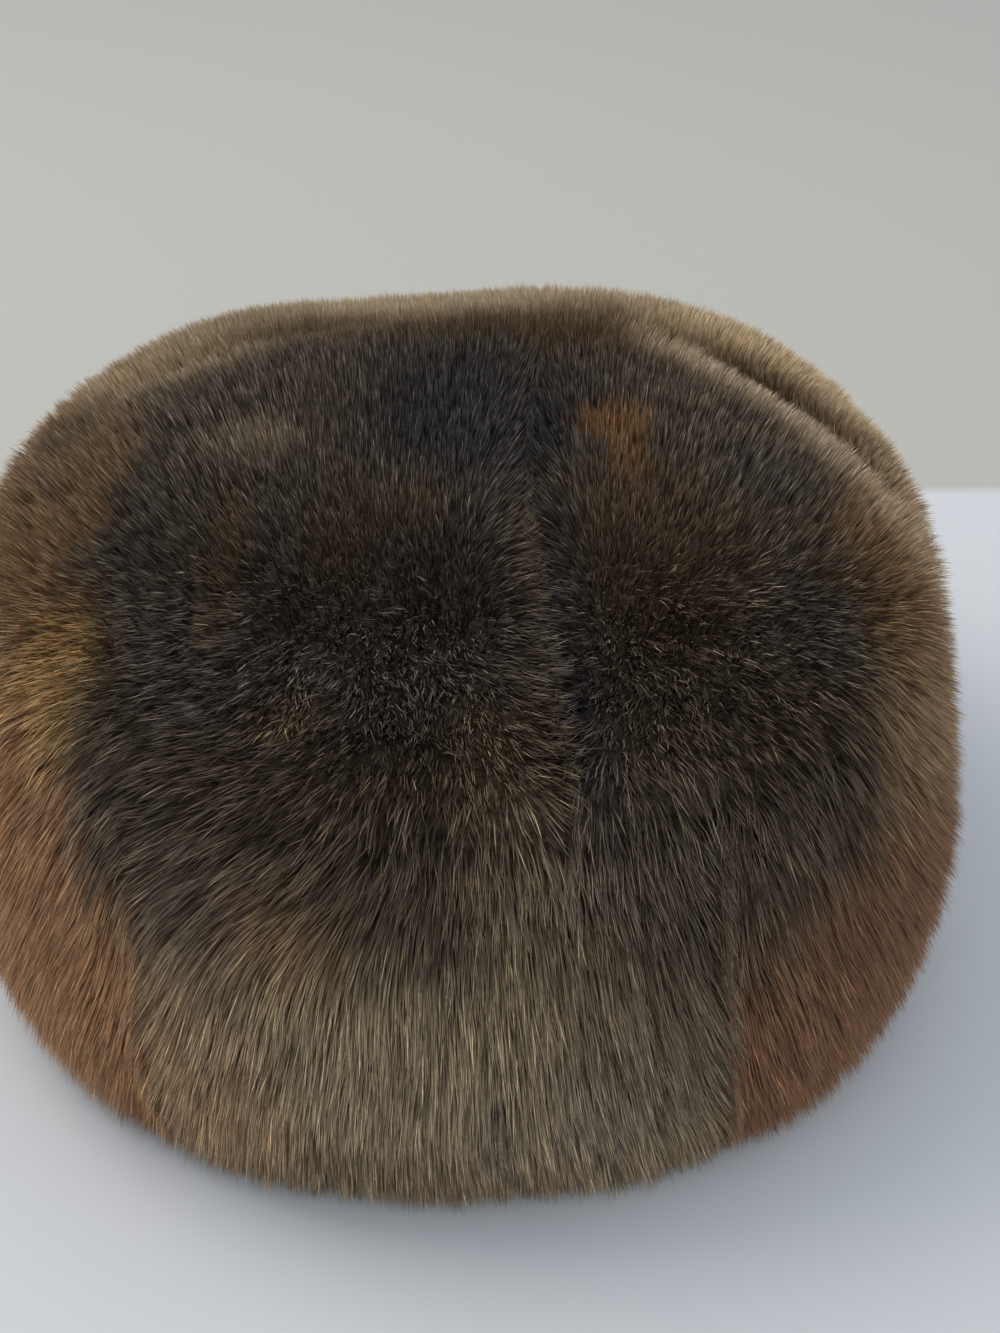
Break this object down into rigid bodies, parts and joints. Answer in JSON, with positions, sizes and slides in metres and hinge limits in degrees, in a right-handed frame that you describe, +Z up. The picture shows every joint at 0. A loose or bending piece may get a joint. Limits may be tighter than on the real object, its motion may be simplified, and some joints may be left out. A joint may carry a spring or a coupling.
{
  "type": "fur hat",
  "caption": "Soft short-haired fur hat: a low domed crown in pelt pieces on a deep pelt band, hollow and open below for the head.",
  "frame": {"origin": "under the middle of the hat, level with the rim that it rests on", "axes": "+Z up through the crown, -Y towards the front seam side, +Y to the back, +X to the wearer's left when the front faces forward"},
  "size_m": [0.2084, 0.245, 0.109],
  "materials": {
    "fur_grey_brown": "short dense fur, grey-tan tips over brown, long strokes lying down to the rim",
    "fur_russet": "short dense fur, orange-tan to russet brown with a pale soft edge",
    "fur_dark": "short dense fur, dark brown to near black with fine tan tips"
  },
  "bodies": {
    "root": {"band_front": "fur_grey_brown", "band_right": "fur_russet", "band_back": "fur_grey_brown", "band_left": "fur_russet", "crown_front_right": "fur_dark", "crown_rear": "fur_dark", "crown_front_left": "fur_dark"}
  },
  "joints": []
}
